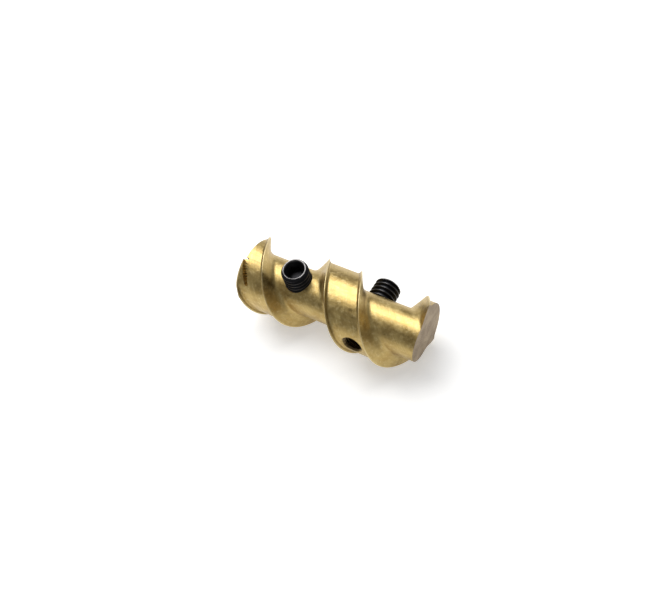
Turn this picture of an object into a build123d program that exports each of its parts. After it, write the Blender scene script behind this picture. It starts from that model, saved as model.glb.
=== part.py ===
from build123d import *
from math import cos, radians, sin
import os

os.makedirs("parts", exist_ok=True)

# Shared frame, in millimetres: +X runs along the coupling towards its closed end,
# the origin is on the axis at half the length, +Z is the direction the left set screw points in.

# The turned bar and its helical rib.
bar_diameter = 11.5
coupling_length = 27.8
core_diameter = 6.7
land_diameter = 10.5
rib_pitch = 15.6
land_width = 5.36

# The rib's flanks, measured from a plane across the axis, and their root fillets.
open_flank_angle = 19.0
closed_flank_angle = 24.0
open_flank_fillet = 1.05
closed_flank_fillet = 1.1

# The sharp lips that stand up along both edges of the land.
lip_crest_flat = 0.06
lip_inner_angle = 22.0
lip_inner_fillet = 0.5

# The shaft bore, drilled from the left end and closed at the right.
shaft_diameter = 4.0
bore_depth = 22.5
drill_point_angle = 118.0

# The set screws and the holes they stand in.
screw_offset = 5.56
right_screw_angle = -97.5
screw_length = 3.76
blank_length = 4.0
left_screw_stand = 5.8
right_screw_stand = 6.1
thread_diameter = 4.0
thread_pitch = 0.7
thread_clearance = 0.02
screw_hole_clearance = 0.05
tap_drill_diameter = 2.5
tap_mouth_diameter = 3.3
screw_chamfer = 0.34
socket_across_flats = 2.0
socket_depth = 2.0
socket_mouth_diameter = 3.1
socket_mouth_depth = 0.4
cup_diameter = 2.0
cup_depth = 0.5

# The slit that starts at the left rim, and the rim's shallow step.
slit_width = 0.9
slit_depth = 0.75
slit_start_angle = 8.0
slit_turn = 42.0
slit_pitch = 11.5
rim_step = 0.48
rim_step_turn = 180.0

# The bevel that blunts the rib where it meets the open end.
rim_bevel_length = 0.9
rim_bevel_height = 0.7

# Derived values.
mouth_taper = 45.0
bar_radius = bar_diameter / 2
core_radius = core_diameter / 2
land_radius = land_diameter / 2
shaft_radius = shaft_diameter / 2
half_length = coupling_length / 2
groove_width = rib_pitch - land_width
overcut = 1.0
thread_overcut = 0.1
seam_turn = 90.0
tip_trim = blank_length - screw_length
on_base = (Align.CENTER, Align.CENTER, Align.MIN)
trim_side = 2 * (bar_diameter + overcut)
full_turn = 360.0
rib_middle_angle = right_screw_angle / 2
rib_phase = -rib_pitch * rib_middle_angle / full_turn
screw_radius = thread_diameter / 2 - thread_clearance
screw_hole_radius = thread_diameter / 2 + screw_hole_clearance


def outward(angle):
    """Unit vector across the axis, turned by angle about +X from +Z."""
    return Vector(0, -sin(radians(angle)), cos(radians(angle)))


def seat(offset, angle, radius=0.0):
    """Plane across a screw's line, with its normal pointing outwards."""
    on_axis = Vector(offset, 0, 0)
    return Plane(origin=on_axis + outward(angle) * radius, x_dir=(1, 0, 0), z_dir=outward(angle))


def rib_section(station):
    """Plane through the axis and +Z, with its origin on the axis at a station along it."""
    return Plane(origin=(station, 0, 0), x_dir=(1, 0, 0), z_dir=(0, -1, 0))


def run(height, angle):
    """Distance covered along the axis by a line leaning by angle over a height."""
    return height * sin(radians(angle)) / cos(radians(angle))


# The groove beside the rib: a flat floor, two leaning flanks and two root fillets.
groove_start = rib_phase + rib_pitch / 2 - 2 * rib_pitch
groove_travel = half_length + groove_width / 2 - groove_start
groove_height = bar_radius - core_radius

with BuildPart() as groove_cutter:
    with BuildLine():
        groove_path = Helix(
            pitch=rib_pitch,
            height=groove_travel,
            radius=core_radius,
            center=(groove_start, 0, 0),
            direction=(1, 0, 0),
        )
    with BuildSketch(rib_section(groove_start)):
        with BuildLine():
            Polyline(
                (-groove_width / 2 - run(overcut, open_flank_angle), bar_radius + overcut),
                (-groove_width / 2 + run(groove_height, open_flank_angle), core_radius),
                (groove_width / 2 - run(groove_height, closed_flank_angle), core_radius),
                (groove_width / 2 + run(overcut, closed_flank_angle), bar_radius + overcut),
                close=True,
            )
        make_face()
        floor_corners = vertices().group_by(Axis.Z)[0].sort_by(Axis.X)
        fillet(floor_corners[0], radius=open_flank_fillet)
        fillet(vertices().group_by(Axis.Z)[0].sort_by(Axis.X)[-1], radius=closed_flank_fillet)
    sweep(path=groove_path, is_frenet=True)
    Box(coupling_length, trim_side, trim_side, mode=Mode.INTERSECT)

# The shallow relief between the lips, which leaves the land at its own diameter.
relief_start = rib_phase - 2 * rib_pitch
relief_travel = half_length + land_width / 2 - relief_start
relief_height = bar_radius - land_radius
relief_half = land_width / 2 - lip_crest_flat

with BuildPart() as relief_cutter:
    with BuildLine():
        relief_path = Helix(
            pitch=rib_pitch,
            height=relief_travel,
            radius=land_radius,
            center=(relief_start, 0, 0),
            direction=(1, 0, 0),
        )
    with BuildSketch(rib_section(relief_start)):
        with BuildLine():
            Polyline(
                (-relief_half - run(overcut, lip_inner_angle), bar_radius + overcut),
                (-relief_half + run(relief_height, lip_inner_angle), land_radius),
                (relief_half - run(relief_height, lip_inner_angle), land_radius),
                (relief_half + run(overcut, lip_inner_angle), bar_radius + overcut),
                close=True,
            )
        make_face()
        fillet(vertices().group_by(Axis.Z)[0], radius=lip_inner_fillet)
    sweep(path=relief_path, is_frenet=True)
    Box(coupling_length, trim_side, trim_side, mode=Mode.INTERSECT)


# The rim's step starts where the slit does.
rim_step_section = Plane(
    origin=(0, 0, 0), x_dir=(1, 0, 0), z_dir=outward(slit_start_angle + full_turn / 4)
)

# The slit, cut inwards from the land along a line that climbs from the left rim.
slit_travel = slit_pitch * slit_turn / full_turn
slit_run_in = slit_pitch * slit_start_angle / full_turn
slit_origin = -half_length - slit_run_in

with BuildPart() as slit_cutter:
    with BuildLine():
        slit_path = Helix(
            pitch=slit_pitch,
            height=slit_travel + slit_run_in,
            radius=land_radius,
            center=(slit_origin, 0, 0),
            direction=(1, 0, 0),
        )
    with BuildSketch(rib_section(slit_origin)):
        with Locations((0, land_radius)):
            Rectangle(slit_width, 2 * slit_depth)
    sweep(path=slit_path, is_frenet=True)

# The screw's thread groove, along +Z, as a tool that is trimmed to the blank's length.
thread_root_flat = thread_pitch / 4
thread_crest_flat = thread_pitch / 8
thread_flank_angle = 30.0
thread_rise = thread_pitch - thread_root_flat - thread_crest_flat
thread_depth = thread_rise / 2 / run(1.0, thread_flank_angle)
thread_root_radius = screw_radius - thread_depth
thread_mouth = screw_radius + thread_overcut
groove_mouth = thread_root_flat + 2 * run(thread_mouth - thread_root_radius, thread_flank_angle)

with BuildPart() as thread_cutter:
    with BuildLine():
        thread_path = Helix(
            pitch=thread_pitch,
            height=blank_length + 2 * thread_pitch,
            radius=thread_root_radius,
            center=(0, 0, -thread_pitch),
        )
    with BuildSketch(Plane.XZ):
        with Locations((0, -thread_pitch)):
            with BuildLine():
                Polyline(
                    (thread_mouth, -groove_mouth / 2),
                    (thread_root_radius, -thread_root_flat / 2),
                    (thread_root_radius, thread_root_flat / 2),
                    (thread_mouth, groove_mouth / 2),
                    close=True,
                )
            make_face()
    sweep(path=thread_path, is_frenet=True)
    Box(trim_side, trim_side, blank_length, align=on_base, mode=Mode.INTERSECT)

# The brass body.
screw_stations = ((-screw_offset, 0.0), (screw_offset, right_screw_angle))
mouth_depth = (tap_mouth_diameter - tap_drill_diameter) / 2
point_length = shaft_radius / run(1.0, drill_point_angle / 2)

with BuildPart() as coupling_body:
    with BuildSketch(Plane.YZ.offset(-half_length)):
        Circle(bar_radius)
    extrude(amount=coupling_length)
    add(groove_cutter.part, mode=Mode.SUBTRACT)
    add(relief_cutter.part, mode=Mode.SUBTRACT)
    with BuildSketch(Plane.XZ):
        with BuildLine():
            Polyline(
                (-half_length - overcut, 0),
                (-half_length - overcut, shaft_radius),
                (-half_length + bore_depth, shaft_radius),
                (-half_length + bore_depth + point_length, 0),
                close=True,
            )
        make_face()
    revolve(axis=Axis.X, mode=Mode.SUBTRACT)
    add(slit_cutter.part, mode=Mode.SUBTRACT)
    with BuildSketch(rim_step_section):
        with BuildLine():
            Polyline(
                (-half_length - overcut, shaft_radius / 2),
                (-half_length - overcut, bar_radius + overcut),
                (-half_length + rim_step, bar_radius + overcut),
                (-half_length + rim_step, shaft_radius / 2),
                close=True,
            )
        make_face()
    revolve(axis=Axis.X, revolution_arc=-rim_step_turn, mode=Mode.SUBTRACT)
    with BuildSketch(Plane.XZ):
        with BuildLine():
            Polyline(
                (-half_length - overcut, bar_radius + overcut),
                (-half_length - overcut, bar_radius - rim_bevel_height),
                (-half_length, bar_radius - rim_bevel_height),
                (-half_length + rim_bevel_length, bar_radius),
                (-half_length + rim_bevel_length, bar_radius + overcut),
                close=True,
            )
        make_face()
    revolve(axis=Axis.X, mode=Mode.SUBTRACT)
    for offset, angle in screw_stations:
        far_side = angle + full_turn / 2
        with BuildSketch(seat(offset, angle)):
            Circle(screw_hole_radius)
        extrude(amount=bar_radius + overcut, mode=Mode.SUBTRACT)
        with BuildSketch(seat(offset, far_side)):
            Circle(tap_drill_diameter / 2)
        extrude(amount=bar_radius + overcut, mode=Mode.SUBTRACT)
        with BuildSketch(seat(offset, far_side, land_radius)):
            Circle(tap_mouth_diameter / 2)
        extrude(amount=-mouth_depth, taper=mouth_taper, mode=Mode.SUBTRACT)

coupling_body.part.label = "coupling_body"
export_step(coupling_body.part, "parts/coupling_body.step")

# One set screw, along +Z. A threaded blank is shortened at its cup point by the same trim that
# chamfers both of its ends.
with BuildPart() as screw_form:
    with BuildSketch():
        Circle(screw_radius)
    extrude(amount=blank_length)
    with Locations(Rotation(0, 0, seam_turn)):
        add(thread_cutter.part, mode=Mode.SUBTRACT)
    with BuildSketch(Plane.XZ):
        with BuildLine():
            Polyline(
                (0, tip_trim),
                (screw_radius - screw_chamfer, tip_trim),
                (thread_mouth, tip_trim + screw_chamfer + thread_overcut),
                (thread_mouth, blank_length - screw_chamfer - thread_overcut),
                (screw_radius - screw_chamfer, blank_length),
                (0, blank_length),
                close=True,
            )
        make_face()
    revolve(axis=Axis.Z, mode=Mode.INTERSECT)
    with BuildSketch(Plane.XY.offset(blank_length)):
        RegularPolygon(socket_across_flats / 2, side_count=6, major_radius=False)
    extrude(amount=-socket_depth, mode=Mode.SUBTRACT)
    with BuildSketch(Plane.XY.offset(blank_length)):
        Circle(socket_mouth_diameter / 2)
    extrude(amount=-socket_mouth_depth, taper=mouth_taper, mode=Mode.SUBTRACT)
    with BuildSketch(Plane.XY.offset(tip_trim)):
        Circle(cup_diameter / 2)
    extrude(amount=cup_depth, taper=mouth_taper, mode=Mode.SUBTRACT)

with BuildPart() as left_set_screw:
    with Locations(seat(-screw_offset, 0.0, left_screw_stand - blank_length)):
        add(screw_form.part)
left_set_screw.part.label = "left_set_screw"
export_step(left_set_screw.part, "parts/left_set_screw.step")

with BuildPart() as right_set_screw:
    with Locations(seat(screw_offset, right_screw_angle, right_screw_stand - blank_length)):
        add(screw_form.part)
right_set_screw.part.label = "right_set_screw"
export_step(right_set_screw.part, "parts/right_set_screw.step")
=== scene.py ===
# %% [markdown]
# A turned brass shaft coupling
#
# The object is a brass bar turned down to a thin core, with one helical rib left standing on it,
# and two black set screws in the rib's groove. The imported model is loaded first, so that every
# piece made here is in the same place and at the same size as the working part.

import math

import bpy
from mathutils import Matrix, Vector


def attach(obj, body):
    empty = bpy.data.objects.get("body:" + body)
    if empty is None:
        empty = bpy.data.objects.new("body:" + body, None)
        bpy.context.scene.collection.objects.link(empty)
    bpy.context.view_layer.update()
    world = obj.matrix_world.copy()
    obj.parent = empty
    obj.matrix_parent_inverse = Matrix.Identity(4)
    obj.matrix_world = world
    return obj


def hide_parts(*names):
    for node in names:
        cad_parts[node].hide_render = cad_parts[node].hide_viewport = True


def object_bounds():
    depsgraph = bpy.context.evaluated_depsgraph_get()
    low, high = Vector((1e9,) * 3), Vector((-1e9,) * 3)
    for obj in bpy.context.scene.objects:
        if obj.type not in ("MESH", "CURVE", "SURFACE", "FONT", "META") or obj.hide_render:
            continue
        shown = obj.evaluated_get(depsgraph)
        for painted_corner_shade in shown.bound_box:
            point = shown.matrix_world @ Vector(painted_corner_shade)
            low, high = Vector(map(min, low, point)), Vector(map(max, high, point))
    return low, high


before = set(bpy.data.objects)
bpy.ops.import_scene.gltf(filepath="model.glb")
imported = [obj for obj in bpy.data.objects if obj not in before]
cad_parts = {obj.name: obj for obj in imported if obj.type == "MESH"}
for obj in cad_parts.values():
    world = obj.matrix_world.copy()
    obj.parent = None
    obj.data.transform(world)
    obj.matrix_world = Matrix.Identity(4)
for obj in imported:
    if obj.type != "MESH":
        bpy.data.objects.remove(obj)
cad_low, cad_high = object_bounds()
print("CAD box in mm", [round(1000 * c, 2) for c in (*cad_low, *cad_high)])

# %% [markdown]
# The camera
#
# The camera stands about 100 mm from a part this small, so the near end looks larger. It
# is placed by where it stands, the point that it looks at, and how far it leans over.
# Everything is worked out in millimetres, which read better than thousandths of a metre.

# %% Place the camera
MM = 0.001
CAMERA_PLACE = Vector((37.14, -36.27, 86.10)) * MM
CAMERA_AIM = Vector((-1.39, -0.44, 0.44)) * MM
CAMERA_LEAN = math.radians(-20.35)
CAMERA_LENS = 38.77

bpy.ops.object.camera_add(location=CAMERA_PLACE)
camera = bpy.context.object
camera.name = "camera"
camera.data.lens = CAMERA_LENS
camera.data.clip_start = 1 * MM
camera.data.clip_end = 10.0
look = (CAMERA_AIM - CAMERA_PLACE).to_track_quat("-Z", "Y").to_matrix().to_4x4()
camera.matrix_world = Matrix.Translation(CAMERA_PLACE) @ look @ Matrix.Rotation(CAMERA_LEAN, 4, "Z")
bpy.context.scene.camera = camera
print("camera stands", round((CAMERA_AIM - CAMERA_PLACE).length / MM, 1), "mm away")

# %% [markdown]
# The floor and the light
#
# A sheet of pale paper lies under the coupling, just touching its lips, and glows a little so
# that it stays pale. Polished metal shows what is round it more than its own colour, so the one
# lamp is large and soft: a broad box above and behind draws the long pale band along the core,
# and a dim room fills in the rest. A small hard lamp would leave white dots on the brass. The
# room is seen brighter than it lights, because a room as pale as the paper would wash out the
# brass.

# %% Lay the floor
FLOOR_SIDE = 3.0
FLOOR_WHITE = (0.92, 0.92, 0.915, 1)
FLOOR_ROUGHNESS = 0.9
FLOOR_GLOW = 0.38

bpy.ops.object.select_all(action="DESELECT")
bpy.ops.mesh.primitive_plane_add(size=FLOOR_SIDE, location=(0, 0, cad_low.z))
floor = bpy.context.object
floor.name = "floor"
paper = bpy.data.materials.new("pale paper")
paper.use_nodes = True
paper_shader = paper.node_tree.nodes["Principled BSDF"]
paper_shader.inputs["Base Color"].default_value = FLOOR_WHITE
paper_shader.inputs["Roughness"].default_value = FLOOR_ROUGHNESS
paper_shader.inputs["Emission Color"].default_value = (1, 1, 1, 1)
paper_shader.inputs["Emission Strength"].default_value = FLOOR_GLOW
floor.data.materials.append(paper)
print("floor lies at", round(cad_low.z / MM, 2), "mm")


# %% Hang the lamp and light the room
KEY_PLACE = (-100, 92, 221)
KEY_SIZE = (270, 190)
KEY_POWER = 0.74
ROOM_LIGHT = 0.25
ROOM_SEEN_EXTRA = 0.6


def soft_box(name, place, size, power):
    """A rectangular soft lamp at a place in mm, turned towards the coupling."""
    place = Vector(place) * MM
    bpy.ops.object.light_add(type="AREA", location=place)
    lamp = bpy.context.object
    lamp.name = name
    lamp.data.shape = "RECTANGLE"
    lamp.data.size = size[0] * MM
    lamp.data.size_y = size[1] * MM
    lamp.data.energy = power
    lamp.rotation_euler = (-place).to_track_quat("-Z", "Y").to_euler()


soft_box("key box", KEY_PLACE, KEY_SIZE, KEY_POWER)

studio = bpy.data.worlds.new("studio")
bpy.context.scene.world = studio
studio.use_nodes = True
room = studio.node_tree.nodes["Background"]
room.inputs["Color"].default_value = (1, 1, 1, 1)
seen = studio.node_tree.nodes.new("ShaderNodeLightPath")
strength = studio.node_tree.nodes.new("ShaderNodeMath")
strength.operation = "MULTIPLY_ADD"
strength.inputs[1].default_value = ROOM_SEEN_EXTRA
strength.inputs[2].default_value = ROOM_LIGHT
studio.node_tree.links.new(seen.outputs["Is Camera Ray"], strength.inputs[0])
studio.node_tree.links.new(strength.outputs[0], room.inputs["Strength"])
bpy.context.scene.view_settings.view_transform = "Standard"

# %% [markdown]
# Working by hand
#
# Each piece is modelled large, with one unit for each millimetre, because Blender's cutting
# tools have fixed tolerances that are coarse for a part this small. It is shrunk to metres when
# it is done. Three habits are used throughout: pick one object and nothing else, add a modifier
# and apply it at once, and cut one solid with another and throw the cutter away.


# %% Helpers for picking, finishing and cutting
SLICE_SNAP = 1e-5
WELD_SEAM = 1e-4
WELD_POLE = 2e-3
NEAR_AXIS = 0.0005


def pick(piece):
    """Selects one object and nothing else."""
    if bpy.context.object and bpy.context.object.mode != "OBJECT":
        bpy.ops.object.mode_set(mode="OBJECT")
    bpy.ops.object.select_all(action="DESELECT")
    piece.select_set(True)
    bpy.context.view_layer.objects.active = piece


def apply_new(piece, kind, **settings):
    """Adds a modifier with its settings and applies it."""
    pick(piece)
    modifier = piece.modifiers.new(kind.lower(), kind)
    for name, value in settings.items():
        setattr(modifier, name, value)
    bpy.ops.object.modifier_apply(modifier=modifier.name)


def cut(piece, tool, operation="DIFFERENCE"):
    """Cuts, joins or trims a piece with a closed tool, which is then thrown away."""
    before = len(piece.data.polygons)
    apply_new(piece, "BOOLEAN", object=tool, operation=operation, solver="EXACT")
    print(" ", operation.lower(), tool.name, "faces", before, "to", len(piece.data.polygons))
    bpy.data.objects.remove(tool, do_unlink=True)


def place(piece, spot=(0, 0, 0), turn=(0, 0, 0), scale=1.0):
    """Sets an object down at a spot, turned, and works that into its mesh."""
    pick(piece)
    piece.location = spot
    piece.rotation_euler = turn
    piece.scale = (scale, scale, scale)
    bpy.ops.object.transform_apply(location=True, rotation=True, scale=True)


def to_metres(piece):
    """Shrinks a finished piece from one unit for a millimetre to real size."""
    place(piece, scale=MM)
    size = [round(d / MM, 2) for d in piece.dimensions]
    print(piece.name, "measures", size, "mm with", len(piece.data.polygons), "faces")


def slice_off(piece, spot, away):
    """Cuts a piece square at a spot, drops what lies beyond, and closes it with a flat face."""
    pick(piece)
    bpy.ops.object.mode_set(mode="EDIT")
    bpy.ops.mesh.select_all(action="SELECT")
    bpy.ops.mesh.bisect(plane_co=spot, plane_no=away, clear_outer=True, use_fill=True, threshold=SLICE_SNAP)
    bpy.ops.object.mode_set(mode="OBJECT")


def face_outwards(piece):
    """Turns every face of a closed piece to point outwards."""
    pick(piece)
    bpy.ops.object.mode_set(mode="EDIT")
    bpy.ops.mesh.select_all(action="SELECT")
    bpy.ops.mesh.normals_make_consistent(inside=False)
    bpy.ops.object.mode_set(mode="OBJECT")


def rounded(corners, steps=6):
    """Points along a path of (along, out, radius) corners, with an arc at each corner that has one."""
    path = []
    for before, (x, r, radius), after in zip([corners[0]] + corners, corners, corners[1:] + [corners[-1]]):
        if not radius:
            path.append((x, r))
            continue
        here = Vector((x, r))
        back = (Vector(before[:2]) - here).normalized()
        ahead = (Vector(after[:2]) - here).normalized()
        half = back.angle(ahead) / 2
        reach = radius / math.tan(half)
        middle = here + (back + ahead).normalized() * radius / math.sin(half)
        first = here + back * reach - middle
        sweep = first.angle_signed(here + ahead * reach - middle)
        for step in range(steps + 1):
            turned = Matrix.Rotation(-sweep * step / steps, 2) @ first
            path.append(tuple(middle + turned))
    return path


def divided(path, longest):
    """The same path with points added, so that no stretch of it is longer than asked."""
    fine = [path[0]]
    for (x0, r0), (x1, r1) in zip(path, path[1:]):
        parts = max(1, math.ceil(math.hypot(x1 - x0, r1 - r0) / longest))
        fine += [(x0 + (x1 - x0) * i / parts, r0 + (r1 - r0) * i / parts) for i in range(1, parts + 1)]
    return fine


def wound(name, path, pitch, steps):
    """A path of (along, out) points carried once round +X while it advances by a pitch."""
    mesh = bpy.data.meshes.new(name)
    mesh.from_pydata([(x, 0, r) for x, r in path], [(i, i + 1) for i in range(len(path) - 1)], [])
    skin = bpy.data.objects.new(name, mesh)
    bpy.context.collection.objects.link(skin)
    apply_new(
        skin, "SCREW", axis="X", angle=2 * math.pi, screw_offset=pitch, steps=steps,
        render_steps=steps, use_merge_vertices=False, use_smooth_shade=True,
    )
    apply_new(skin, "WELD", merge_threshold=WELD_SEAM)
    return skin

# %% [markdown]
# The turned body
#
# On the real part a lathe tool has cut one wide groove along a screw line, which leaves a helical
# rib. Its land is a little lower than its two edges, where thin sharp lips stand up. It could be
# made by cutting a swept groove out of a cylinder, but the cleaner way is to draw the outline
# along the axis once, repeat it for a few pitches, and carry it once round the axis while it
# advances by one pitch. Each turn then meets the next one exactly, and every row of faces runs
# along the rib as the tool did.

# %% Draw the outline and wind it
BAR_RADIUS = 5.75
LAND_RADIUS = 5.25
CORE_RADIUS = 3.35
HALF_LENGTH = 13.9
PITCH = 15.6
LAND_HALF = 2.68
CREST_FLAT = 0.06
OPEN_FLANK = math.radians(19)
CLOSED_FLANK = math.radians(24)
LIP_RAMP = math.radians(22)
CLOSED_FILLET = 1.1
OPEN_FILLET = 1.05
LIP_FILLET = 0.5
CREST_ROUND = 0.02
RIGHT_SCREW_TURN = math.radians(-97.5)
RIB_PHASE = -PITCH * RIGHT_SCREW_TURN / 2 / (2 * math.pi)
WIND_STEPS = 240
LONGEST_STRETCH = 0.42
END_BEVEL = 0.05

groove_height = BAR_RADIUS - CORE_RADIUS
lip_height = BAR_RADIUS - LAND_RADIUS
lip_run = lip_height * math.tan(LIP_RAMP)
one_pitch = [
    (-PITCH / 2, CORE_RADIUS, 0),
    (-LAND_HALF - groove_height * math.tan(CLOSED_FLANK), CORE_RADIUS, CLOSED_FILLET),
    (-LAND_HALF, BAR_RADIUS, CREST_ROUND),
    (-LAND_HALF + CREST_FLAT, BAR_RADIUS, CREST_ROUND),
    (-LAND_HALF + CREST_FLAT + lip_run, LAND_RADIUS, LIP_FILLET),
    (0, LAND_RADIUS, 0),
    (LAND_HALF - CREST_FLAT - lip_run, LAND_RADIUS, LIP_FILLET),
    (LAND_HALF - CREST_FLAT, BAR_RADIUS, CREST_ROUND),
    (LAND_HALF, BAR_RADIUS, CREST_ROUND),
    (LAND_HALF + groove_height * math.tan(OPEN_FLANK), CORE_RADIUS, OPEN_FILLET),
    (PITCH / 2, CORE_RADIUS, 0),
]
outline = rounded(one_pitch)
path = []
for turn in (-2, -1, 0, 1):
    shift = RIB_PHASE + turn * PITCH
    path += [(x + shift, r) for x, r in outline[:-1]]
path.append((RIB_PHASE + 1.5 * PITCH, CORE_RADIUS))
body = wound("turned_body", divided(path, LONGEST_STRETCH), PITCH, WIND_STEPS)
slice_off(body, (-HALF_LENGTH, 0, 0), (-1, 0, 0))
slice_off(body, (HALF_LENGTH - END_BEVEL, 0, 0), (1, 0, 0))
face_outwards(body)
print("body wound with", len(body.data.polygons), "faces, size", [round(d, 2) for d in body.dimensions])

# %% [markdown]
# The blunted rim and its slit
#
# At the open end the rib has been blunted, so its lip rises gradually. A short slit is cut into
# the land beside the rim, wide where it starts and running out to nothing, and one half of the
# rim is set back a little. Blunting is a trim with a cylinder that has a cone on its end. The
# slit is a narrow bar that follows its own screw line, pinched at its far end.

# %% Blunt the rim
ENVELOPE_RADIUS = 5.9
BEVEL_LENGTH = 0.9
BEVEL_HEIGHT = 0.7
OVERLAP = 1.0
ROUND = 128

slope = BEVEL_HEIGHT / BEVEL_LENGTH
cone_start = -HALF_LENGTH + BEVEL_LENGTH + (ENVELOPE_RADIUS - BAR_RADIUS) / slope
envelope_length = HALF_LENGTH + OVERLAP - cone_start
bpy.ops.mesh.primitive_cylinder_add(
    vertices=2 * ROUND,
    radius=ENVELOPE_RADIUS,
    depth=envelope_length,
    location=(cone_start + envelope_length / 2, 0, 0),
    rotation=(0, math.pi / 2, 0),
)
envelope = bpy.context.object
envelope.name = "blunting_trim"
cone_length = cone_start + HALF_LENGTH + OVERLAP
tip_scale = 1 - cone_length * slope / ENVELOPE_RADIUS
bpy.ops.object.transform_apply(location=True, rotation=True, scale=True)
bpy.ops.object.mode_set(mode="EDIT")
bpy.ops.mesh.select_all(action="DESELECT")
bpy.ops.object.mode_set(mode="OBJECT")
for face in envelope.data.polygons:
    face.select = face.normal.x < -0.9
bpy.ops.object.mode_set(mode="EDIT")
bpy.ops.mesh.extrude_region_move(TRANSFORM_OT_translate={"value": (-cone_length, 0, 0)})
bpy.ops.transform.resize(value=(1, tip_scale, tip_scale), center_override=(-HALF_LENGTH - OVERLAP, 0, 0))
bpy.ops.object.mode_set(mode="OBJECT")
cut(body, envelope, "INTERSECT")

# %% Cut the slit
SLIT_WIDTH = 1.0
SLIT_DEPTH = 0.75
SLIT_PITCH = 12.5
SLIT_FIRST = math.radians(7.6)
SLIT_LAST = math.radians(52)
SLIT_STEPS = 40
SLIT_SPOT = -13.78
SLIT_TAPER = 0.35
SLIT_PINCH = 12
SLIT_TIP = 0.01


def wound_bar(name, width, low, high, pitch, first, last, spot, steps):
    """A bar of square section that follows a screw line about +X and pinches out at its far end."""
    points, faces = [], []
    for step in range(steps + 1):
        turn = first + (last - first) * step / steps
        along = spot + pitch * turn / (2 * math.pi)
        pinch = math.sqrt(1 - (step / steps) ** SLIT_PINCH)
        half = width / 2 * (1 - SLIT_TAPER * step / steps) * pinch + SLIT_TIP
        for side, out in ((-half, low), (half, low), (half, high), (-half, high)):
            points.append((along + side, -out * math.sin(turn), out * math.cos(turn)))
        if step:
            a, b = 4 * (step - 1), 4 * step
            faces += [(a + i, a + (i + 1) % 4, b + (i + 1) % 4, b + i) for i in range(4)]
    faces += [(3, 2, 1, 0), tuple(4 * steps + i for i in range(4))]
    mesh = bpy.data.meshes.new(name)
    mesh.from_pydata(points, [], faces)
    bar = bpy.data.objects.new(name, mesh)
    bpy.context.collection.objects.link(bar)
    face_outwards(bar)
    return bar


slit = wound_bar(
    "slit_tool", SLIT_WIDTH, LAND_RADIUS - SLIT_DEPTH, BAR_RADIUS + OVERLAP, SLIT_PITCH,
    SLIT_FIRST, SLIT_LAST, SLIT_SPOT, SLIT_STEPS,
)
cut(body, slit)

# %% Set back half of the rim
STEP_BACK = 0.48
STEP_TURN = math.radians(8)

bpy.ops.mesh.primitive_cube_add(size=2)
step_tool = bpy.context.object
step_tool.name = "rim_step_tool"
step_tool.scale = (STEP_BACK / 2 + OVERLAP / 2, BAR_RADIUS + OVERLAP, BAR_RADIUS + OVERLAP)
place_in = (-HALF_LENGTH + STEP_BACK / 2 - OVERLAP / 2, BAR_RADIUS + OVERLAP, 0)
step_tool.location = place_in
bpy.ops.object.transform_apply(location=True, rotation=True, scale=True)
place(step_tool, turn=(STEP_TURN, 0, 0))
cut(body, step_tool)

# %% [markdown]
# The holes
#
# The shaft bore is drilled from the open end, so it ends in a drill point. Each cross hole is
# plain on its screw's side, and on the far side it goes on through the land as a smaller tapped
# hole with a countersunk mouth. The tap is made as the real one is: a rod with a sharp screw
# thread, which leaves its own thread behind when it cuts.

# %% Helpers for threaded rods and drills
THREAD_ANGLE = math.radians(30)
TIP_LEAST = 0.01


def threaded_rod(name, length, pitch, crest, steps=96):
    """A rod with a V thread along +X from 0 to a length, closed at both ends."""
    flat_in, flat_out = pitch / 4, pitch / 8
    depth = (pitch - flat_in - flat_out) / 2 / math.tan(THREAD_ANGLE)
    turn = [
        (0, crest - depth),
        (flat_in, crest - depth),
        (flat_in + depth * math.tan(THREAD_ANGLE), crest),
        (pitch - depth * math.tan(THREAD_ANGLE), crest),
    ]
    turns = math.ceil(length / pitch) + 3
    path = [(x + (n - 2) * pitch, r) for n in range(turns) for x, r in turn]
    rod = wound(name, path, pitch, steps)
    for spot, away in ((0, -1), (length, 1)):
        slice_off(rod, (spot, 0, 0), (away, 0, 0))
    face_outwards(rod)
    return rod


def drill(name, radius, start, end, tip=TIP_LEAST, mouth=None, slope=1.0):
    """A drill along +X with a cone at its end or, if asked, a flare that is as wide as mouth there."""
    path = [(start, NEAR_AXIS), (start, radius), (end, radius), (end + tip, NEAR_AXIS)]
    if mouth:
        flare = mouth + OVERLAP / slope
        path = [
            (start, NEAR_AXIS),
            (start, radius),
            (end - (mouth - radius) * slope, radius),
            (end + OVERLAP, flare),
            (end + 2 * OVERLAP, flare),
            (end + 2 * OVERLAP, NEAR_AXIS),
        ]
    tool = wound(name, path, 0.0, ROUND)
    apply_new(tool, "WELD", merge_threshold=WELD_POLE)
    face_outwards(tool)
    return tool


# %% Drill the shaft bore and the cross holes
BORE_RADIUS = 2.0
BORE_DEPTH = 22.5
DRILL_POINT = math.radians(118)
SCREW_OFFSET = 5.56
SCREW_HOLE_RADIUS = 2.05
TAP_PITCH = 0.5
TAP_CREST = 1.5
TAP_CORE = 1.25
MOUTH_RADIUS = 1.68
TAP_END = 4.82
TAP_STEPS = 64

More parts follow.
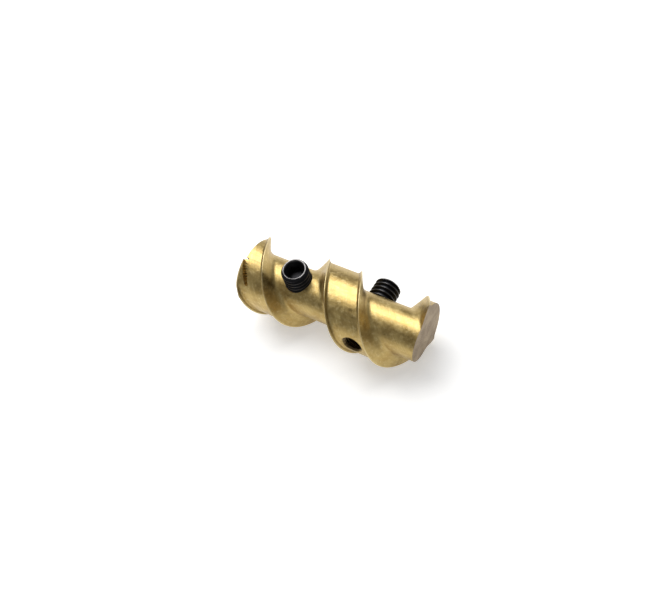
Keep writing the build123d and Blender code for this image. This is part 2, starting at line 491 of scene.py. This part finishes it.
outwards = -math.pi / 2
bore_point = BORE_RADIUS / math.tan(DRILL_POINT / 2)
cut(body, drill("bore_drill", BORE_RADIUS, -HALF_LENGTH - OVERLAP, BORE_DEPTH - HALF_LENGTH, tip=bore_point))
for offset, turn in ((-SCREW_OFFSET, 0.0), (SCREW_OFFSET, RIGHT_SCREW_TURN)):
    hole = drill("screw_hole_drill", SCREW_HOLE_RADIUS, 0, BAR_RADIUS + OVERLAP)
    place(hole, turn=(0, outwards, 0))
    place(hole, spot=(offset, 0, 0), turn=(turn, 0, 0))
    cut(body, hole)
    for tool in (
        drill("mouth_drill", TAP_CORE, 0, LAND_RADIUS, mouth=MOUTH_RADIUS),
        threaded_rod("tap", TAP_END, TAP_PITCH, TAP_CREST, TAP_STEPS),
    ):
        place(tool, turn=(0, outwards, 0))
        place(tool, spot=(offset, 0, 0), turn=(turn + math.pi, 0, 0))
        cut(body, tool)

# %% Bevel the closed end
BODY_SMOOTH = math.radians(28)

pick(body)
for face in body.data.polygons:
    face.select = face.normal.x > 0.99 and face.center.x > HALF_LENGTH - 2 * END_BEVEL
print("end face picked", sum(face.select for face in body.data.polygons))
bpy.ops.object.mode_set(mode="EDIT")
bpy.ops.mesh.select_mode(type="FACE")
bpy.ops.mesh.inset(thickness=END_BEVEL, depth=0, use_even_offset=True)
bpy.ops.transform.translate(value=(END_BEVEL, 0, 0))
bpy.ops.object.mode_set(mode="OBJECT")
bpy.ops.object.shade_smooth_by_angle(angle=BODY_SMOOTH)
to_metres(body)
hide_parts("coupling_body")
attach(body, "body")

# %% [markdown]
# The set screws
#
# Each one is a short M4 rod with a thread from end to end, both ends chamfered, a hexagon socket
# with a coned mouth in its outer end and a cup in its inner end. One is made along +X, from the
# cup to the socket, and copied, because the two are the same.

# %% Thread, chamfer and socket
SCREW_LENGTH = 3.76
SCREW_RADIUS = 1.98
SCREW_PITCH = 0.7
SCREW_CHAMFER = 0.34
SOCKET_FLATS = 2.0
SOCKET_DEPTH = 2.0
SOCKET_MOUTH = 1.55
REAMER_RADIUS = 0.6
REAMER_REACH = 1.9
REAMER_SLOPE = 1.8
CUP_RADIUS = 1.0
CUP_WALL = 0.05
CUP_POINT = 0.5
TRIM_SPARE = 0.1
END_SPARE = 0.01

screw = threaded_rod("set_screw", SCREW_LENGTH, SCREW_PITCH, SCREW_RADIUS)
barrel = wound(
    "chamfer_trim",
    [
        (-END_SPARE, NEAR_AXIS),
        (-END_SPARE, SCREW_RADIUS - SCREW_CHAMFER),
        (SCREW_CHAMFER + TRIM_SPARE, SCREW_RADIUS + TRIM_SPARE + END_SPARE),
        (SCREW_LENGTH - SCREW_CHAMFER - TRIM_SPARE, SCREW_RADIUS + TRIM_SPARE + END_SPARE),
        (SCREW_LENGTH + END_SPARE, SCREW_RADIUS - SCREW_CHAMFER),
        (SCREW_LENGTH + END_SPARE, NEAR_AXIS),
    ],
    0.0,
    ROUND,
)
apply_new(barrel, "WELD", merge_threshold=WELD_POLE)
cut(screw, barrel, "INTERSECT")
bpy.ops.mesh.primitive_cylinder_add(
    vertices=6,
    radius=SOCKET_FLATS / math.sqrt(3),
    depth=2 * SOCKET_DEPTH,
    location=(SCREW_LENGTH, 0, 0),
    rotation=(0, math.pi / 2, 0),
)
hexagon = bpy.context.object
hexagon.name = "hexagon_punch"
place(hexagon, spot=hexagon.location.copy(), turn=(0, math.pi / 2, 0))
cut(screw, hexagon)
reamer = drill(
    "socket_mouth", REAMER_RADIUS, SCREW_LENGTH - REAMER_REACH, SCREW_LENGTH,
    mouth=SOCKET_MOUTH, slope=REAMER_SLOPE,
)
cut(screw, reamer)
cup = drill("cup_drill", CUP_RADIUS, -OVERLAP, CUP_WALL, tip=CUP_POINT)
cut(screw, cup)

# %% Mark where the screw is worn and where a highlight is painted
SCREW_SMOOTH = math.radians(25)
RIM_INNER = 1.2
MARK_DEPTH = 0.02
RIM_WEAR_AND_SHEEN = 1.0
CREST_WEAR_AND_SHEEN = 0.78

pick(screw)
bpy.ops.object.shade_smooth_by_angle(angle=SCREW_SMOOTH)
# Wear and painted highlight: the rim and the thread crests are marked for lighter steel.
wear_and_sheen = screw.data.attributes.new("wear_and_sheen", "FLOAT", "POINT")
for point, mark in zip(screw.data.vertices, wear_and_sheen.data):
    out = math.hypot(point.co.y, point.co.z)
    on_rim = point.co.x > SCREW_LENGTH - MARK_DEPTH and out > RIM_INNER
    on_crest = out > SCREW_RADIUS - MARK_DEPTH
    mark.value = RIM_WEAR_AND_SHEEN if on_rim else CREST_WEAR_AND_SHEEN if on_crest else 0.0

# %% Set both screws in place
LEFT_STAND = 5.8
RIGHT_STAND = 6.1
SCREWS = (
    ("left_screw", "left_set_screw", -SCREW_OFFSET, 0.0, LEFT_STAND),
    ("right_screw", "right_set_screw", SCREW_OFFSET, RIGHT_SCREW_TURN, RIGHT_STAND),
)
for rides_on, node, offset, turn, stand in SCREWS:
    copy = screw.copy()
    copy.data = screw.data.copy()
    copy.name = node.replace("set_screw", "screw_finished")
    bpy.context.collection.objects.link(copy)
    place(copy, spot=(0, 0, stand - SCREW_LENGTH), turn=(0, outwards, 0))
    place(copy, spot=(offset, 0, 0), turn=(turn, 0, 0))
    to_metres(copy)
    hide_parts(node)
    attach(copy, rides_on)
bpy.data.objects.remove(screw, do_unlink=True)

# %% [markdown]
# Turned brass
#
# Fresh brass straight from the lathe is not a mirror. The tool leaves fine lines that run along
# the screw line, handling leaves broad dull patches, and the lip crests are lightened as a painted
# highlight. The closed end was parted off and left matt, with rings round its middle. The lines must
# not show a seam, so the angle round the axis and the place along it are first turned into one
# screw angle, and the noise is read on a circle at that angle. Painted shade darkens the corners
# inside the lips and the inside of the tapped holes, and the end faces carry the rings of a facing
# cut.


# %% Helpers for wiring a material
class Wiring:
    """Adds nodes to a new material and joins them in one call."""

    def __init__(self, name):
        self.material = bpy.data.materials.new(name)
        self.material.use_nodes = True
        self.tree = self.material.node_tree
        self.shader = self.tree.nodes["Principled BSDF"]

    def join(self, value, socket):
        if isinstance(value, bpy.types.NodeSocket):
            self.tree.links.new(value, socket)
        else:
            socket.default_value = value

    def math(self, operation, *values):
        node = self.tree.nodes.new("ShaderNodeMath")
        node.operation = operation
        for value, socket in zip(values, node.inputs):
            self.join(value, socket)
        return node.outputs[0]

    def point(self, x, y, z):
        node = self.tree.nodes.new("ShaderNodeCombineXYZ")
        for value, socket in zip((x, y, z), node.inputs):
            self.join(value, socket)
        return node.outputs[0]

    def noise(self, where, scale, detail=3.0, rough=0.55):
        node = self.tree.nodes.new("ShaderNodeTexNoise")
        self.join(where, node.inputs["Vector"])
        node.inputs["Scale"].default_value = scale
        node.inputs["Detail"].default_value = detail
        node.inputs["Roughness"].default_value = rough
        return node.outputs["Fac"]

    def spread(self, value, low, high, to_low=0.0, to_high=1.0):
        node = self.tree.nodes.new("ShaderNodeMapRange")
        for item, socket in zip((value, low, high, to_low, to_high), node.inputs):
            self.join(item, socket)
        return node.outputs[0]

    def blend(self, factor, first, second):
        node = self.tree.nodes.new("ShaderNodeMix")
        node.data_type = "RGBA"
        self.join(factor, node.inputs[0])
        self.join(first, node.inputs[6])
        self.join(second, node.inputs[7])
        return node.outputs[2]

    def millimetres(self):
        place = self.tree.nodes.new("ShaderNodeTexCoord").outputs["Object"]
        node = self.tree.nodes.new("ShaderNodeMapping")
        node.inputs["Scale"].default_value = (1 / MM, 1 / MM, 1 / MM)
        self.tree.links.new(place, node.inputs["Vector"])
        return node.outputs[0]

    def bump(self, height, depth):
        node = self.tree.nodes.new("ShaderNodeBump")
        node.inputs["Distance"].default_value = depth * MM
        self.tree.links.new(height, node.inputs["Height"])
        self.tree.links.new(node.outputs[0], self.shader.inputs["Normal"])


# %% Wire the brass
BRASS_MID = (0.60, 0.455, 0.185, 1)
BRASS_DARK = (0.41, 0.285, 0.10, 1)
BRASS_PALE = (0.80, 0.68, 0.38, 1)
CORNER_SHADE = (0.20, 0.125, 0.035, 1)
END_FACE = (0.42, 0.335, 0.235, 1)
END_STAIN = (0.25, 0.185, 0.12, 1)
HOLE_SHADE = (0.09, 0.06, 0.03, 1)
TOOL_LINES = 14.0
FINE_LINES = 34.0

brass = Wiring("turned brass")
mm = brass.millimetres()
split = brass.tree.nodes.new("ShaderNodeSeparateXYZ")
brass.tree.links.new(mm, split.inputs[0])
x, y, z = split.outputs
angle = brass.math("ARCTAN2", brass.math("MULTIPLY", y, -1.0), z)
screw_angle = brass.math("SUBTRACT", brass.math("MULTIPLY", x, 2 * math.pi / PITCH), angle)
across, up = brass.math("COSINE", screw_angle), brass.math("SINE", screw_angle)
out = brass.math("SQRT", brass.math("ADD", brass.math("MULTIPLY", y, y), brass.math("MULTIPLY", z, z)))


def lines_along_rib(count, drift):
    """Noise drawn out along the screw line, with no seam round the axis."""
    along = brass.math("MULTIPLY", x, drift)
    where = brass.point(brass.math("MULTIPLY", across, count), brass.math("MULTIPLY", up, count), along)
    return brass.noise(where, 1.0, 2.0)


# %% Lay the lines, patches and rings
tool_lines = lines_along_rib(TOOL_LINES, 0.25)
fine_lines = lines_along_rib(FINE_LINES, 0.4)
patches = brass.noise(mm, 0.55, 4.0, 0.6)
specks = brass.noise(mm, 2.2, 3.0, 0.65)
streaks = brass.noise(brass.point(
    brass.math("MULTIPLY", x, 0.3), brass.math("MULTIPLY", y, 2.4), brass.math("MULTIPLY", z, 2.4)
), 1.0, 3.0, 0.6)
# Painted highlight: how near a point lies to the lip crests.
painted_lip_highlight = brass.spread(out, BAR_RADIUS - 0.22, BAR_RADIUS - 0.04)
end = brass.spread(x, HALF_LENGTH - 0.03, HALF_LENGTH - 0.005)
open_face = brass.spread(x, -HALF_LENGTH + STEP_BACK + 0.03, -HALF_LENGTH + STEP_BACK + 0.005)
face = brass.math("MAXIMUM", end, open_face)
rings = brass.noise(brass.point(brass.math("MULTIPLY", out, 13.0), 0.0, 0.0), 1.0, 2.0)


def faced(value):
    """The rings of a facing cut on the two end faces, and the given lines elsewhere."""
    off_face = brass.math("MULTIPLY", value, brass.math("SUBTRACT", 1.0, face))
    return brass.math("ADD", off_face, brass.math("MULTIPLY", rings, face))


tool_lines, fine_lines = faced(tool_lines), faced(fine_lines)
print("patterns laid with", len(brass.tree.nodes), "nodes")

# %% Mix the colour
tone = brass.blend(brass.spread(patches, 0.36, 0.64), BRASS_DARK, BRASS_MID)
tone = brass.blend(brass.spread(specks, 0.5, 0.78, 0.0, 0.5), tone, BRASS_PALE)
tone = brass.blend(brass.spread(tool_lines, 0.42, 0.68, 0.0, 0.5), tone, BRASS_DARK)
tone = brass.blend(brass.spread(streaks, 0.5, 0.72, 0.0, 0.45), tone, BRASS_DARK)
# Painted shade: the corners inside the lips, where the land meets them, are darkened, varied by the specks.
corner_turn = 2 * math.pi * (LAND_HALF - CREST_FLAT - lip_run) / PITCH
from_middle = brass.math("SUBTRACT", screw_angle, 2 * math.pi * RIB_PHASE / PITCH)
past_corner = brass.math("SUBTRACT", brass.math("COSINE", from_middle), math.cos(corner_turn))
off_corner = brass.math("ABSOLUTE", past_corner)
on_land = brass.spread(out, LAND_RADIUS - 0.15, LAND_RADIUS - 0.03)
painted_corner_shade = brass.math("MULTIPLY", brass.spread(off_corner, 0.055, 0.012), on_land)
painted_corner_shade = brass.math("MULTIPLY", painted_corner_shade, brass.spread(specks, 0.3, 0.6, 0.35, 0.85))
tone = brass.blend(painted_corner_shade, tone, CORNER_SHADE)
# Painted highlight: the lip crests are mixed towards pale brass.
tone = brass.blend(brass.math("MULTIPLY", painted_lip_highlight, 0.6), tone, BRASS_PALE)
stained = brass.blend(brass.spread(patches, 0.38, 0.62), END_STAIN, END_FACE)
stained = brass.blend(brass.spread(rings, 0.45, 0.75, 0.0, 0.12), stained, BRASS_PALE)
tone = brass.blend(end, tone, stained)


def down_hole(spot, turn):
    """1 inside the tapped hole at a place along the axis and a turn round it, 0 outside."""
    from_y, from_z = brass.math("MULTIPLY", y, math.cos(turn)), brass.math("MULTIPLY", z, math.sin(turn))
    beside = brass.math("ADD", from_y, from_z)
    along = brass.math("SUBTRACT", x, spot)
    off = brass.math("ADD", brass.math("MULTIPLY", beside, beside), brass.math("MULTIPLY", along, along))
    return brass.spread(brass.math("SQRT", off), TAP_CREST + 0.04, TAP_CREST - 0.06)


# Painted shade: the inside of each tapped hole is darkened.
painted_hole_shade = brass.math("MAXIMUM", down_hole(-SCREW_OFFSET, 0.0), down_hole(SCREW_OFFSET, RIGHT_SCREW_TURN))
tone = brass.blend(brass.math("MULTIPLY", painted_hole_shade, 0.88), tone, HOLE_SHADE)
brass.join(tone, brass.shader.inputs["Base Color"])
brass.shader.inputs["Metallic"].default_value = 1.0
print("colour mixed with", len(brass.tree.nodes), "nodes")

# %% Dull the surface and raise its lines
dull = brass.spread(patches, 0.3, 0.7, 0.30, 0.46)
dull = brass.math("ADD", dull, brass.spread(specks, 0.3, 0.7, -0.05, 0.06))
dull = brass.math("ADD", dull, brass.spread(fine_lines, 0.3, 0.7, -0.03, 0.05))
dull = brass.math("ADD", dull, brass.spread(streaks, 0.3, 0.7, -0.04, 0.07))
dull = brass.math("ADD", dull, brass.math("MULTIPLY", end, 0.2))
brass.join(dull, brass.shader.inputs["Roughness"])
relief = brass.math("ADD", tool_lines, brass.math("MULTIPLY", fine_lines, 0.5))
relief = brass.math("ADD", relief, brass.math("MULTIPLY", specks, 1.2))
brass.bump(relief, 0.02)
body.data.materials.append(brass.material)
print("brass wired with", len(brass.tree.nodes), "nodes")

# %% [markdown]
# Black oxide steel
#
# Set screws are blackened by a hot salt bath, which leaves a thin dark skin with a dull shine.
# It rubs through first on the sharp rim and on the crests of the thread; the lighter steel there is
# partly wear and partly a painted highlight. Both are stored on the mesh, because each screw points
# its own way, and the material only reads it.

# %% Wire the black steel
OXIDE = (0.012, 0.012, 0.014, 1)
BARE_STEEL_SHEEN = (0.30, 0.285, 0.28, 1)

black = Wiring("black oxide steel")
wear_and_sheen_read = black.tree.nodes.new("ShaderNodeAttribute")
wear_and_sheen_read.attribute_name = "wear_and_sheen"
grime = black.noise(black.millimetres(), 1.6, 4.0, 0.6)
edge = black.spread(wear_and_sheen_read.outputs["Fac"], 0.7, 1.0)
# The marked rim and crests are mixed towards bare steel, partly wear and partly a painted highlight.
rubbed_and_lit = black.math("MULTIPLY", edge, black.spread(grime, 0.3, 0.65, 0.35, 1.0))
black.join(black.blend(rubbed_and_lit, OXIDE, BARE_STEEL_SHEEN), black.shader.inputs["Base Color"])
black.shader.inputs["Metallic"].default_value = 0.7
black.join(black.spread(grime, 0.3, 0.7, 0.30, 0.44), black.shader.inputs["Roughness"])
black.bump(black.noise(black.millimetres(), 9.0, 3.0), 0.006)
for name in ("left_screw_finished", "right_screw_finished"):
    bpy.data.objects[name].data.materials.append(black.material)
print("black steel wired with", len(black.tree.nodes), "nodes")
